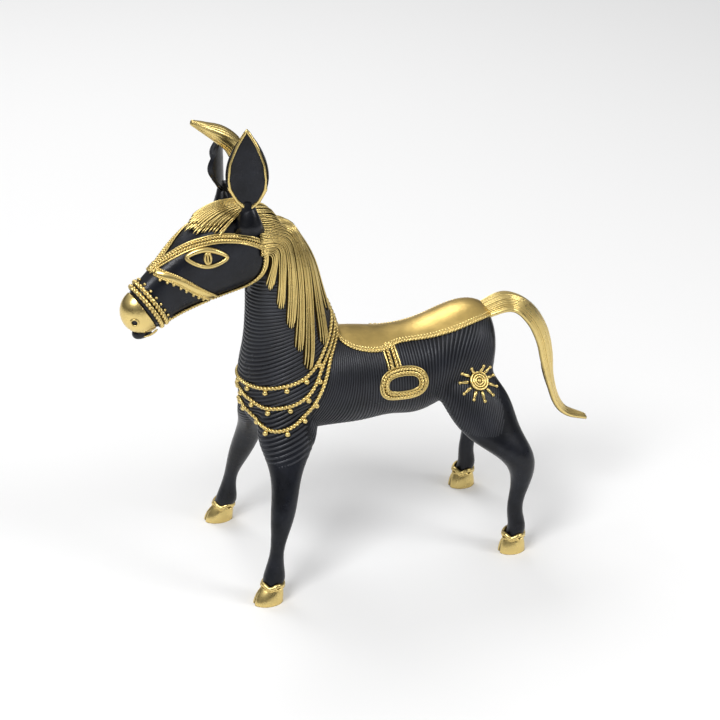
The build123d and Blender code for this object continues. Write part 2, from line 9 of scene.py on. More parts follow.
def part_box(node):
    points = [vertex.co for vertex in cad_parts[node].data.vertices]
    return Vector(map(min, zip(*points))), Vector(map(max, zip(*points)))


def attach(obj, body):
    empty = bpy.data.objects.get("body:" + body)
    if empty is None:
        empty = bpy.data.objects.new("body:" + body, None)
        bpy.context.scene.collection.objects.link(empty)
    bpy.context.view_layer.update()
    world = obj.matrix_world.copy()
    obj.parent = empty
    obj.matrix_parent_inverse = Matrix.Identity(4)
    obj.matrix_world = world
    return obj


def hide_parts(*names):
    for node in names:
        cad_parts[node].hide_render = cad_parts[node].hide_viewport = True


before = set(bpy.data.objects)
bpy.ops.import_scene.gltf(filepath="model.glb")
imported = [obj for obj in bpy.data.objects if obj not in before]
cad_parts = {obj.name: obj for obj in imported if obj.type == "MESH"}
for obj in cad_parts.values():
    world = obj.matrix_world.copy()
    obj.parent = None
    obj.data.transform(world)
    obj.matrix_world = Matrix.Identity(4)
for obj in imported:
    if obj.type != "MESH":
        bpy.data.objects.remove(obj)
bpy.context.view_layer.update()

# A black, thread-wound cast horse with gold trim. Lengths below are in millimetres and are
# turned into metres only where a mesh or the camera is made.
milli = 0.001
up = np.array([0.0, 0.0, 1.0])


def nodeBox(name):
    low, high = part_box(name)
    return np.array(low) / milli, np.array(high) / milli


chestX = -61.22  # the front of the chest, which most places are measured from
standHeight = 97.0


# Camera and lights.
def aim(thing, place, target):
    thing.location = place
    thing.rotation_euler = (Vector(target) - Vector(place)).to_track_quat("-Z", "Y").to_euler()


def makeCamera():
    look = {
        "azimuth": -19.1, "elevation": 27.018, "distance": 1.4, "lens": 140.0,
        "target": (0.00046, 0.0, 0.1032),
    }
    azimuth, elevation = math.radians(look["azimuth"]), math.radians(look["elevation"])
    back = Vector((
        math.sin(azimuth) * math.cos(elevation),
        -math.cos(azimuth) * math.cos(elevation),
        math.sin(elevation),
    ))
    camera = bpy.data.objects.new("camera", bpy.data.cameras.new("camera"))
    camera.data.lens = look["lens"]
    camera.data.sensor_width = 36.0
    bpy.context.scene.collection.objects.link(camera)
    aim(camera, Vector(look["target"]) + back * look["distance"], look["target"])
    bpy.context.scene.camera = camera


def makeLights():
    softBoxes = [
        {"place": (-0.55, -0.45, 0.95), "size": 0.42, "power": 6.3},
        {"place": (0.75, -0.55, 0.7), "size": 0.35, "power": 3.3},
        {"place": (-0.1, 0.8, 0.9), "size": 0.6, "power": 4.4},
    ]
    for index, box in enumerate(softBoxes):
        lamp = bpy.data.lights.new(f"softBox{index}", "AREA")
        lamp.size = box["size"]
        lamp.energy = box["power"]
        holder = bpy.data.objects.new(lamp.name, lamp)
        bpy.context.scene.collection.objects.link(holder)
        aim(holder, box["place"], (0.0, 0.0, 0.1))
    world = bpy.data.worlds.new("studio")
    world.use_nodes = True
    tree = world.node_tree
    background = tree.nodes["Background"]
    background.inputs["Strength"].default_value = 0.58
    place = tree.nodes.new("ShaderNodeTexCoord")
    height = tree.nodes.new("ShaderNodeSeparateXYZ")
    sky = tree.nodes.new("ShaderNodeValToRGB")
    sky.color_ramp.elements[0].position = 0.05
    sky.color_ramp.elements[0].color = (0.05, 0.05, 0.06, 1.0)
    sky.color_ramp.elements[1].position = 0.75
    tree.links.new(place.outputs["Generated"], height.inputs[0])
    tree.links.new(height.outputs["Z"], sky.inputs[0])
    tree.links.new(sky.outputs[0], background.inputs["Color"])
    bpy.context.scene.world = world
    bpy.context.scene.view_settings.view_transform = "Standard"


# Shader maths.
class Value:  # one output socket with arithmetic on it
    def __init__(self, finish, socket):
        self.finish = finish
        self.socket = socket

    def maths(self, operation, first, second):
        return self.finish.node("ShaderNodeMath", {"operation": operation}, {0: first, 1: second})

    def __add__(self, other):
        return self.maths("ADD", self, other)

    def __radd__(self, other):
        return self.maths("ADD", other, self)

    def __sub__(self, other):
        return self.maths("SUBTRACT", self, other)

    def __rsub__(self, other):
        return self.maths("SUBTRACT", other, self)

    def __mul__(self, other):
        return self.maths("MULTIPLY", self, other)

    def __rmul__(self, other):
        return self.maths("MULTIPLY", other, self)


class Finish:  # a material under construction
    def __init__(self, name, **constants):
        self.material = bpy.data.materials.new(name)
        self.material.use_nodes = True
        self.tree = self.material.node_tree
        self.shader = self.tree.nodes["Principled BSDF"]
        for socketName, number in constants.items():
            self.shader.inputs[socketName].default_value = number

    def feed(self, socket, value):
        if isinstance(value, Value):
            self.tree.links.new(value.socket, socket)
        else:
            socket.default_value = value

    def node(self, kind, settings, inputs, output=0):
        made = self.tree.nodes.new(kind)
        for key, setting in settings.items():
            if key == "stops":
                ramp = made.color_ramp
                while len(ramp.elements) < len(setting):
                    ramp.elements.new(0.5)
                for element, (place, shade) in zip(ramp.elements, setting):
                    element.position = place
                    element.color = shade
            else:
                setattr(made, key, setting)
        for key, value in inputs.items():
            self.feed(made.inputs[key], value)
        return Value(self, made.outputs[output])

    def noise(self, scale, detail=4.0, roughness=0.55):
        place = self.node("ShaderNodeTexCoord", {}, {}, "Object")
        sockets = {"Vector": place, "Scale": scale, "Detail": detail, "Roughness": roughness}
        return self.node("ShaderNodeTexNoise", {}, sockets)

    def ramp(self, factor, *stops):
        return self.node("ShaderNodeValToRGB", {"stops": stops}, {"Fac": factor})

    def mix(self, factor, first, second):
        return self.node("ShaderNodeMix", {"data_type": "RGBA"}, {0: factor, 6: first, 7: second}, 2)

    # the lift attribute is painted light: 1 keeps the lit colour, low values paint shade on the sides of
    # threads and in the gaps between them
    def lift(self):  # 0 deep between the threads, 1 on their tops
        return self.node("ShaderNodeAttribute", {"attribute_name": "lift"}, {}, "Fac")

    def bump(self, height, strength, distance):
        sockets = {"Height": height, "Strength": strength, "Distance": distance}
        self.feed(self.shader.inputs["Normal"], self.node("ShaderNodeBump", {}, sockets))


def grey(level):
    return (level, level, level, 1.0)


def blackFinish(name, wound=False):
    # dust gives real dust flecks on the patina and, on the thread tops, a painted sheen
    look = {
        "dark": (0.003, 0.0037, 0.006, 1), "pale": (0.011, 0.013, 0.02, 1), "dustAndSheen": (0.09, 0.095, 0.11, 1),
    }
    finish = Finish(name, Metallic=0.25)
    finish.shader.inputs["Specular IOR Level"].default_value = 0.42
    mottle = finish.ramp(finish.noise(75.0, 5.0), (0.38, grey(0)), (0.68, grey(1)))
    fleck = finish.ramp(finish.noise(900.0, 3.0), (0.66, grey(0)), (0.78, grey(0.5)))
    colour = finish.mix(mottle, look["dark"], look["pale"])
    colour = finish.mix(fleck * mottle, colour, look["dustAndSheen"])
    rough = finish.noise(240.0, 4.0) * 0.3 + 0.17
    if wound:
        # painted light on the wound threads: paler tops as a painted highlight, sides and gaps darkened as
        # painted shade
        paintedLightMask = finish.ramp(finish.lift(), (0.45, grey(0)), (0.95, grey(1)))
        colour = finish.mix(paintedLightMask, look["dark"], finish.mix(0.3, colour, look["dustAndSheen"]))
        rough = rough + (1 - paintedLightMask) * 0.5
    finish.feed(finish.shader.inputs["Base Color"], colour)
    finish.feed(finish.shader.inputs["Roughness"], rough)
    finish.bump(finish.noise(520.0, 5.0, 0.6), 0.28, 0.0004)
    return finish.material


def goldFinish(name, bright, deep, rough, grain=600.0, strength=0.18, tarnish=0.35):
    finish = Finish(name, Metallic=1.0)
    patch = finish.ramp(finish.noise(130.0, 5.0, 0.62), (0.36, grey(0)), (0.7, grey(1)))
    # the deep colour low on each strand and in hollows is partly dark patina in the hollows, partly painted
    # shade on the sides and undersides
    polishAndPaintedLight = finish.ramp(finish.lift(), (0.3, grey(0)), (0.82, grey(1)))
    worn = tuple(0.72 * channel for channel in bright[:3]) + (1,)
    face = finish.mix(patch * tarnish, bright, worn)
    finish.feed(finish.shader.inputs["Base Color"], finish.mix(polishAndPaintedLight, deep, face))
    spread = finish.noise(310.0, 4.0) * 0.22 + (rough - 0.06)
    finish.feed(finish.shader.inputs["Roughness"], spread + (1 - polishAndPaintedLight) * 0.3)
    finish.bump(finish.noise(grain, 4.0, 0.6), strength, 0.0003)
    return finish.material


black = blackFinish("blackPatina")
blackThread = blackFinish("blackThread", True)
gold = goldFinish("goldPolished", (0.83, 0.64, 0.25, 1), (0.05, 0.032, 0.009, 1), 0.24)
satinGold = goldFinish("goldSatin", (0.7, 0.5, 0.165, 1), (0.12, 0.075, 0.022, 1), 0.34, 340.0, 0.3, 0.75)
dullGold = goldFinish("goldDull", (0.2, 0.155, 0.065, 1), (0.05, 0.035, 0.012, 1), 0.5, 260.0, 0.5, 0.9)
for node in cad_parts.values():
    node.data.materials.clear()
    node.data.materials.append(black)


# Mesh helpers.
def fullTurn(count):  # evenly spaced angles all the way round
    return np.linspace(0, 2 * math.pi, count, endpoint=False)


def unit(vectors):
    return vectors / np.maximum(np.linalg.norm(vectors, axis=-1, keepdims=True), 1e-9)


def smoothLine(points, count=160):  # a smooth line through a few points
    points = np.array(points, float)
    padded = np.vstack([2 * points[0] - points[1], points, 2 * points[-1] - points[-2]])
    places = np.linspace(0, len(points) - 1 - 1e-9, count)
    first = places.astype(int)
    t = (places - first)[:, None]
    a, b, c, d = (padded[first + shift] for shift in range(4))
    square, cube = 2 * a - 5 * b + 4 * c - d, 3 * b - a - 3 * c + d
    return 0.5 * (2 * b + (c - a) * t + square * t ** 2 + cube * t ** 3)


def runLengths(line):  # distance along a line to each of its points
    return np.concatenate([[0], np.cumsum(np.linalg.norm(np.diff(line, axis=0), axis=1))])


def evenly(points, step, closed=False):
    if closed:
        points = np.vstack([points, points[:1]])
    lengths = runLengths(points)
    count = max(3, int(round(lengths[-1] / step)))
    places = np.linspace(0, lengths[-1], count + 1)
    even = np.stack([np.interp(places, lengths, column) for column in points.T], axis=1)
    return even[:-1] if closed else even


def tangents(points, closed=False):
    if closed:
        return unit(np.roll(points, -1, axis=0) - np.roll(points, 1, axis=0))
    return unit(np.gradient(points, axis=0))


def softened(values, rounds, closed=False):
    values = values.copy()
    for _ in range(rounds):
        if closed:
            values = 0.5 * values + 0.25 * (np.roll(values, 1, axis=0) + np.roll(values, -1, axis=0))
        else:
            values[1:-1] = 0.5 * values[1:-1] + 0.25 * (values[:-2] + values[2:])
    return values


class Casting:  # gathers points and faces, then becomes one piece
    def __init__(self):
        self.points, self.lifts, self.faces, self.count = [], [], [], 0

    def add(self, points, faces, lifts):
        self.points.append(np.asarray(points, float).reshape(-1, 3))
        self.lifts.append(np.asarray(lifts, float).ravel())
        self.faces += [tuple(self.count + corner for corner in face) for face in faces]
        self.count += len(self.points[-1])

    def tube(self, line, outward, radius, sides=6, closed=False, flat=1.0, shade=1.0):
        along = tangents(line, closed)
        outward = unit(outward - along * np.sum(outward * along, axis=1, keepdims=True))
        aside = np.cross(along, outward)
        radius = np.broadcast_to(np.asarray(radius, float), (len(line),))[:, None]
        rings, lifts = [], []
        for corner in range(sides):
            angle = 2 * math.pi * (corner + 0.5) / sides
            rings.append(line + radius * (flat * math.cos(angle) * outward + math.sin(angle) * aside))
            # painted shade: a tube is paler on its outward top and darker down its sides and underside; shade
            # darkens it further
            lifts.append(shade * (0.5 + 0.5 * math.cos(angle)))
        self.rings(np.stack(rings, axis=1), closed, np.tile(lifts, (len(line), 1)))

    def rings(self, points, closed=False, lifts=None, caps=True):
        count, sides = np.shape(points)[:2]
        faces = []
        for index in range(count if closed else count - 1):
            here, after = index * sides, (index + 1) % count * sides
            for corner in range(sides):
                beside = (corner + 1) % sides
                faces.append((here + corner, after + corner, after + beside, here + beside))
        if caps and not closed:
            faces.append(tuple(range(sides)))
            faces.append(tuple((count - 1) * sides + corner for corner in reversed(range(sides))))
        self.add(points, faces, np.ones(count * sides) if lifts is None else lifts)

    def plate(self, top, bottom, lifts=None):  # a grid of points with a thickness, closed all round
        rows, columns = top.shape[:2]
        size = rows * columns
        faces = []
        for row in range(rows - 1):
            for column in range(columns - 1):
                corner = row * columns + column
                quad = (corner, corner + 1, corner + columns + 1, corner + columns)
                faces.append(quad)
                faces.append(tuple(size + c for c in reversed(quad)))
        edge = list(range(columns))
        edge += [row * columns + columns - 1 for row in range(1, rows)]
        edge += [(rows - 1) * columns + column for column in range(columns - 2, -1, -1)]
        edge += [row * columns for row in range(rows - 2, 0, -1)]
        for here, after in zip(edge, edge[1:] + edge[:1]):
            faces.append((after, here, size + here, size + after))
        upper = np.ones(size) if lifts is None else np.ravel(lifts)
        points = np.concatenate([top.reshape(-1, 3), bottom.reshape(-1, 3)])
        # painted shade: the underside of the sheet gets less painted light than its top
        self.add(points, faces, np.concatenate([upper, 0.4 * upper]))

    def ball(self, middle, radius, axis=up, squat=1.0, count=10):
        axis = np.asarray(axis, float) / np.linalg.norm(axis)
        first = np.cross(axis, [0.3, 0.9, 0.2])
        first /= np.linalg.norm(first)
        second = np.cross(axis, first)
        angles = np.linspace(0.12, math.pi - 0.12, max(5, count // 2 + 2))
        turns = fullTurn(count)
        ways = np.array([math.cos(t) * first + math.sin(t) * second for t in turns])
        rings = [middle + radius * (squat * math.cos(a) * axis + math.sin(a) * ways) for a in angles]
        # painted shade: each bead is paler on top and darker underneath
        lifts = np.repeat([[0.5 + 0.5 * math.cos(a)] for a in angles], count, axis=1)
        self.rings(rings, lifts=np.clip(lifts + 0.25, 0, 1))

    def rope(self, line, outward, radius, pitch, hand=1, closed=False, strands=2):
        lengths = runLengths(line)
        total = lengths[-1] + (np.linalg.norm(line[0] - line[-1]) if closed else 0)
        turns = total / pitch
        if closed:
            turns = round(turns)
        fine = evenly(np.hstack([line, outward]), pitch / 7.0, closed)
        line, outward = fine[:, :3], unit(fine[:, 3:])
        along = tangents(line, closed)
        aside = np.cross(along, outward)
        share = np.linspace(0, 1, len(line), endpoint=not closed)
        for strand in range(strands):
            angle = hand * (2 * math.pi * (turns * share + strand / strands))[:, None]
            wound = 0.5 * radius * (np.cos(angle) * outward + np.sin(angle) * aside)
            # painted shade: each strand is darker where it turns down between the other strands
            lifts = 0.5 + 0.5 * np.cos(angle[:, 0])
            start = len(self.lifts)
            self.tube(line + wound, outward, 0.62 * radius, 6, closed)
            self.lifts[start] = 0.55 * self.lifts[start] + 0.45 * np.repeat(lifts, 6)

    def reflected(self, point, normal):  # the same piece again on the other side
        points = np.concatenate(self.points)
        depth = (points - point) @ normal
        mirrorPoints = points - 2 * depth[:, None] * normal
        faces = [tuple(reversed(face)) for face in self.faces]
        self.add(mirrorPoints, faces, np.concatenate(self.lifts))

    def make(self, name, material, *nodes, slot=None):
        mesh = bpy.data.meshes.new(name)
        mesh.from_pydata((np.concatenate(self.points) * milli).tolist(), [], self.faces)
        # the painted light levels are stored as the lift attribute
        mesh.attributes.new("lift", "FLOAT", "POINT").data.foreach_set("value", np.concatenate(self.lifts))
        faced = bmesh.new()
        faced.from_mesh(mesh)
        bmesh.ops.recalc_face_normals(faced, faces=faced.faces)
        faced.to_mesh(mesh)
        faced.free()
        mesh.polygons.foreach_set("use_smooth", np.ones(len(mesh.polygons), bool))
        mesh.materials.append(material)
        rideRoot(bpy.data.objects.new(name, mesh), *nodes, slot=slot)

    def makeBoth(self, name, plane, node):  # a gold trim and its mirror image
        self.reflected(*plane)
        self.make(name, gold, "left_" + node, "right_" + node)


def rideRoot(piece, *nodes, slot=None):  # links a piece to the scene, parents it to the root and hides the nodes it stands in for
    bpy.context.scene.collection.objects.link(piece)
    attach(piece, "root")
    if nodes:
        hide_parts(*nodes)


# The black casting.
legNodes = [f"{end}_{side}_leg" for end in ("front", "rear") for side in ("left", "right")]
castingNodes = ["body_casting", "head_casting", "clay_core", *legNodes]


def castSkin():
    shape = {"voxel": 0.0009, "softening": 10}
    gathered = bmesh.new()
    for name in castingNodes:
        gathered.from_mesh(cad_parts[name].data)
    bmesh.ops.remove_doubles(gathered, verts=gathered.verts, dist=1e-6)
    mesh = bpy.data.meshes.new("gathered")
    gathered.to_mesh(mesh)
    gathered.free()
    holder = bpy.data.objects.new("gathered", mesh)
    bpy.context.scene.collection.objects.link(holder)
    remesh = holder.modifiers.new("remesh", "REMESH")
    remesh.mode = "VOXEL"
    remesh.voxel_size = shape["voxel"]
    evaluated = holder.evaluated_get(bpy.context.evaluated_depsgraph_get())
    skin = bpy.data.meshes.new_from_object(evaluated)
    bpy.data.objects.remove(holder)
    solid = bmesh.new()
    solid.from_mesh(skin)
    unseen = set(solid.verts)
    islands = []
    while unseen:
        island, waiting = [], [unseen.pop()]
        while waiting:
            vertex = waiting.pop()
            island.append(vertex)
            for edge in vertex.link_edges:
                other = edge.other_vert(vertex)
                if other in unseen:
                    unseen.discard(other)
                    waiting.append(other)
        islands.append(island)
    islands.sort(key=len)
    bmesh.ops.delete(solid, geom=[vertex for island in islands[:-1] for vertex in island])
    axes = {f"use_axis_{axis}": True for axis in "xyz"}
    for _ in range(shape["softening"]):
        bmesh.ops.smooth_vert(solid, verts=solid.verts, factor=0.5, **axes)
    solid.to_mesh(skin)
    solid.free()
    skin.materials.clear()
    skin.materials.append(black)
    skin.polygons.foreach_set("use_smooth", np.ones(len(skin.polygons), bool))
    skin.name = "blackCasting"
    rideRoot(bpy.data.objects.new("blackCasting", skin), *castingNodes)
    return skin


makeCamera()
makeLights()
skinMesh = castSkin()
skinPoints = np.zeros(len(skinMesh.vertices) * 3)
skinMesh.vertices.foreach_get("co", skinPoints)
skinPoints = skinPoints.reshape(-1, 3) / milli
skinMesh.calc_loop_triangles()
skinTriangles = np.zeros(len(skinMesh.loop_triangles) * 3, int)
skinMesh.loop_triangles.foreach_get("vertices", skinTriangles)
skinTriangles = skinTriangles.reshape(-1, 3)
skinTree = BVHTree.FromPolygons(skinPoints.tolist(), skinTriangles.tolist())
print("casting done:", len(skinTriangles), "triangles")


def struck(start, way):  # where a ray first meets the skin, if it does
    return skinTree.ray_cast(Vector(start), Vector(way))[0]


def nearestSkin(points):
    places, normals = [], []
    for point in points:
        place, normal, _, _ = skinTree.find_nearest(Vector(point))
        places.append(place)
        normals.append(normal)
    return np.array(places), unit(np.array(normals))


def castOn(points, direction, back=150.0):  # slides points along a direction until they meet the skin
    direction = np.array(direction, float)
    direction /= np.linalg.norm(direction)
    places = []
    for point in points:
        place = struck(point - back * direction, direction)
        if place is None:
            place, _, _, _ = skinTree.find_nearest(Vector(point))
        places.append(place)
    return np.array(places)


def laidLine(places, step=0.9, height=0.0, closed=False, rounds=6):
    line = evenly(places, step, closed)
    line, normals = nearestSkin(line)
    line = softened(line, rounds, closed)
    line = evenly(line, step, closed)
    line, normals = nearestSkin(line)
    normals = unit(softened(normals, rounds, closed))
    line = softened(line, 2, closed)
    return line + normals * height, normals


def shifted(line, normals, amount, height=0.0, closed=False):  # the same line further to one side
    aside = np.cross(tangents(line, closed), normals)
    places, fresh = nearestSkin(line + aside * amount)
    places = softened(places, 3, closed)
    fresh = unit(softened(fresh, 4, closed))
    return places + fresh * height, fresh


def trim(piece, line, normals, layout, closed=False):  # wires and ropes side by side along one line
    for kind, offset, radius in layout:
        base = 0.78 * radius
        laid, out = shifted(line, normals, offset, base, closed)
        if kind == "wire":
            piece.tube(laid, out, radius, 8, closed)
        elif kind == "band":
            piece.tube(laid - out * 0.55 * radius, out, radius, 10, closed, 0.42)
        else:
            piece.rope(laid, out, radius, 3.7 * radius, 1 if kind == "right" else -1, closed)


# Wound threads of the neck, chest and barrel.
def smoothstep(values, low, high):
    share = np.clip((values - low) / (high - low), 0, 1)
    return share * share * (3 - 2 * share)


neckX = chestX + 21.5


def ringLevel(points):  # height at the front of the neck of the thread that passes through a point
    x, z = points[:, 0], points[:, 2]
    level = z.copy()
    for _ in range(8):
        slope = 0.42 * smoothstep(160 - level, 0, 50) * smoothstep(level, 40, 84)
        level = z - slope * (x - (chestX + 2))
    return level


def hoopLevel(points):  # place along the barrel of the thread that passes through a point
    x, z = points[:, 0], points[:, 2]
    lean = 0.62 * smoothstep(-x, -6, 38) + 0.5 * smoothstep(x, 22, 62)
    return x - lean * (z - standHeight)


def seamX(z):  # the neck's threads end here and the barrel's begin
    return np.interp(z, [55, 84, 94, 122, 141, 200], [-31, -35, -31, -17, -12, -8])


def ringsHere(points):
    x, y, z = points.T
    ahead = (x - headPivot[0]) * headAhead[0] + y * headAhead[1]
    neckSide = (x < seamX(z)) & (ringLevel(points) < 161)
    return neckSide & ~((ahead > 12) & (z > 151)) & (z > 58)


def hoopsHere(points):
    x, _, z = points.T
    inner = (z < 62) | ((x > 66) & (z < 76))
    return (x > seamX(z) + 0.4) & (x < 70) & ~inner & (z > 60)


def ringFade(points):
    return smoothstep(points[:, 2], 58, 84)


def hoopFade(points):
    x, _, z = points.T
    return smoothstep(z, 60, 80) * (1 - smoothstep(x, 60, 70)) * smoothstep(x - seamX(z), 0.3, 1.6)


def contours(levels, value):  # chains the points where the skin crosses one value
    corners = levels[skinTriangles]
    crossing = np.nonzero((corners.min(axis=1) < value) & (corners.max(axis=1) >= value))[0]
    places, links = {}, {}
    for triangle in skinTriangles[crossing]:
        found = []
        for first, second in ((0, 1), (1, 2), (2, 0)):
            a, b = sorted((int(triangle[first]), int(triangle[second])))
            low, high = levels[a], levels[b]
            if (low < value) != (high < value):
                key = (a, b)
                share = (value - low) / (high - low)
                places[key] = skinPoints[a] + share * (skinPoints[b] - skinPoints[a])
                found.append(key)
        if len(found) == 2:
            links.setdefault(found[0], []).append(found[1])
            links.setdefault(found[1], []).append(found[0])
    chains = []
    free = dict.fromkeys(links)
    while free:
        start = next(iter(free))
        chain = [start]
        del free[start]
        for end in (0, 1):
            here = start
            while True:
                ahead = [key for key in links[here] if key in free]
                if not ahead:
                    break
                here = ahead[0]
                del free[here]
                chain.append(here) if end == 0 else chain.insert(0, here)
        closed = chain[0] in links[chain[-1]] and len(chain) > 8
        chains.append((np.array([places[key] for key in chain]), closed))
    return chains


def windThreads(name, levelOf, here, fadeOf, look):
    levels = levelOf(skinPoints)
    piece = Casting()
    inside = here(skinPoints)
    first = math.ceil(levels[inside].min() / look["pitch"])
    last = math.floor(levels[inside].max() / look["pitch"])
    for index in range(first, last + 1):
        for chain, closed in contours(levels, index * look["pitch"] + 1e-4):
            if len(chain) < 8:
                continue
            line = evenly(softened(chain, 3, closed), look["step"], closed)
            if closed:
                line = np.vstack([line, line[:2]])
            kept = here(line)
            edges = np.flatnonzero(np.diff(np.concatenate([[0], kept.astype(int), [0]])))
            for start, end in zip(edges[::2], edges[1::2]):
                if end - start < 5:
                    continue
                stretch = line[start:end]
                _, normals = nearestSkin(stretch)
                normals = unit(softened(normals, 2))
                fade = fadeOf(stretch)
                wave = np.array([noise.noise(Vector(point * 0.11)) for point in stretch])
                radius = look["radius"] * (1 + 0.1 * wave)
                sunk = look["sunk"] + (1 - fade) * (look["radius"] - look["sunk"] + 0.12)
                piece.tube(stretch - normals * sunk[:, None], normals, radius, look["sides"])
    piece.make(name, blackThread)


headPivot = np.array([neckX - 6.0, 0.0, 180.0])
headYaw = math.radians(10.0)
headAhead = np.array([-math.cos(headYaw), -math.sin(headYaw), 0.0])
headAcross = np.array([-math.sin(headYaw), math.cos(headYaw), 0.0])
headLength, headDepth = 80.0, 19.5

neckThreads = {"pitch": 2.05, "radius": 0.86, "sunk": 0.2, "step": 1.5, "sides": 6}
barrelThreads = {"pitch": 1.42, "radius": 0.62, "sunk": 0.12, "step": 1.4, "sides": 6}
windThreads("neckThreads", ringLevel, ringsHere, ringFade, neckThreads)
windThreads("barrelThreads", hoopLevel, hoopsHere, hoopFade, barrelThreads)
print("threads done")


# Saddle with its rope edge, stirrups and suns.
saddleOutline = [
    (0.0, 0.0), (0.03, 0.6), (0.09, 1.04), (0.19, 1.2), (0.29, 1.14), (0.38, 0.88), (0.48, 0.88),
    (0.6, 1.0), (0.76, 1.12), (0.9, 0.94), (0.98, 0.42), (1.0, 0.0),
]
saddle = {
    "front": chestX + 45.0, "length": 86.0, "halfWidth": 12.0, "height": 1.3, "rows": 110, "columns": 34,
    "above": 152.0,
}


def makeSaddle():
    outline = smoothLine(saddleOutline, 300)
    shares = np.linspace(0.004, 0.996, saddle["rows"])
    widths = np.interp(shares, outline[:, 0], outline[:, 1]) * saddle["halfWidth"]
    grid = []
    for share, wide in zip(shares, widths):
        across = np.linspace(-wide, wide, saddle["columns"])
        grid += [(saddle["front"] + share * saddle["length"], y, saddle["above"]) for y in across]
    places = castOn(np.array(grid), -up, 0.0)
    places, normals = nearestSkin(places)
    places = places.reshape(saddle["rows"], saddle["columns"], 3)
    normals = normals.reshape(places.shape)
    for _ in range(4):
        normals[1:-1] = 0.5 * normals[1:-1] + 0.25 * (normals[:-2] + normals[2:])
        normals[:, 1:-1] = 0.5 * normals[:, 1:-1] + 0.25 * (normals[:, :-2] + normals[:, 2:])
    normals = unit(normals)
    sheet = Casting()
    sheet.plate(places + normals * saddle["height"], places - normals * 0.4)
    sheet.make("saddleSheet", satinGold, "saddle_sheet")
    half = np.stack([
        saddle["front"] + outline[:, 0] * saddle["length"],
        -outline[:, 1] * saddle["halfWidth"],
        np.full(len(outline), saddle["above"]),
    ], axis=1)
    other = half[::-1][1:-1] * [1, -1, 1]
    line, normals = laidLine(castOn(np.vstack([half, other]), -up, 0.0), 0.8, 0.0, True, 4)
    edge = Casting()
    side = np.sign(np.cross(tangents(line, True), normals)[len(half) // 4] @ [0, 1, 0])
    layout = [("wire", 3.0, 0.45), ("right", 1.75, 0.85), ("left", 0.35, 0.85)]
    trim(edge, line, normals, [(kind, side * offset, radius) for kind, offset, radius in layout], True)
    edge.make("saddleRopeEdge", gold, "saddle_rope_edge")


strapX = chestX + 72.5
ringMiddle = (strapX + 4.5, standHeight + 1.0)
sunMiddle = (chestX + 116.5, standHeight - 4.0)
middlePlane = (np.zeros(3), np.array([0.0, 1.0, 0.0]))
flankWay = (0.0, 1.0, 0.0)


def sidePoints(pairs):
    return np.array([(x, 0.0, z) for x, z in pairs])


def makeStirrups():
    strap = Casting()
    fall = [(-0.4, 18.5), (0.0, 14.0), (0.6, 9.0)]
    drop = smoothLine(sidePoints([(strapX + x, standHeight + z) for x, z in fall]))
    line, normals = laidLine(castOn(drop, flankWay))
    layout = [("wire", -3.2, 0.6), ("right", -1.3, 1.0), ("left", 1.3, 1.0), ("wire", 3.2, 0.6)]
    trim(strap, line, normals, layout)
    strap.makeBoth("stirrupStraps", middlePlane, "stirrup_strap")
    size = {"halfLength": 10.6, "halfHeight": 6.3, "squareness": 2.8}
    outline = []
    for turn in fullTurn(120):
        ways = (math.cos(turn), math.sin(turn))
        x, z = (math.copysign(abs(way) ** (2 / size["squareness"]), way) for way in ways)
        outline.append((ringMiddle[0] + size["halfLength"] * x, 0.0, ringMiddle[1] + size["halfHeight"] * z))
    line, normals = laidLine(castOn(np.array(outline), flankWay), 0.9, 0.0, True, 5)
    ring = Casting()
    layout = [("wire", -2.1, 0.5), ("right", -0.9, 0.9), ("left", 0.9, 0.9), ("wire", 2.1, 0.5)]
    trim(ring, line, normals, layout, True)
    ring.makeBoth("stirrupRings", middlePlane, "stirrup_ring")


def makeSuns():
    sun = {"rays": 11, "inner": 5.7, "reach": 11.0, "rings": ((4.5, 0.62), (3.15, 0.55), (1.95, 0.5))}
    centre = castOn(sidePoints([sunMiddle]), flankWay)
    _, normal = nearestSkin(centre)
    out = normal[0]
    right = np.cross(up, out)
    right /= np.linalg.norm(right)
    above = np.cross(out, right)
    turns = fullTurn(48)

    def around(radius):
        return np.array([centre[0] + radius * (math.cos(t) * right + math.sin(t) * above) for t in turns])

    disc = Casting()
    levels = ((0.05, 1.15), (1.2, 1.15), (2.4, 1.1), (3.6, 1.05), (4.9, 0.9), (5.1, 0.3), (5.0, -1.5))
    base = [around(radius) + out * height for radius, height in levels]
    # painted shade: the disc base under the rings gets little painted light
    disc.rings(np.array(base)[::-1], lifts=np.full((len(levels), 48), 0.35))
    for radius, thick in sun["rings"]:
        loop = around(radius) + out * 1.25
        disc.tube(loop, np.tile(out, (48, 1)), thick, 8, True)
    disc.ball(centre[0] + out * 1.3, 1.15, out, 0.8, 14)
    disc.makeBoth("sunDiscs", middlePlane, "sun_disc")
    rays = Casting()
    for index in range(sun["rays"]):
        angle = 2 * math.pi * index / sun["rays"] + 0.12
        way = math.cos(angle) * right + math.sin(angle) * above
        reach = sun["reach"] - 0.5 * (index % 2)
        places = np.array([centre[0] + way * r for r in np.linspace(sun["inner"] - 0.4, reach - 0.8, 9)])
        places, normals = nearestSkin(places)
        taper = np.array([0.5, 0.8, 0.95, 0.95, 0.9, 0.8, 0.7, 0.6, 0.5])
        rays.tube(places + normals * 0.5, normals, taper, 8, False, 0.8)
        rays.ball(places[-1] + normals[-1] * 0.6 + way * 0.4, 0.95, normals[-1], 0.85)
    rays.makeBoth("sunRays", middlePlane, "sun_rays")


makeSaddle()
makeStirrups()
makeSuns()
print("saddle done")


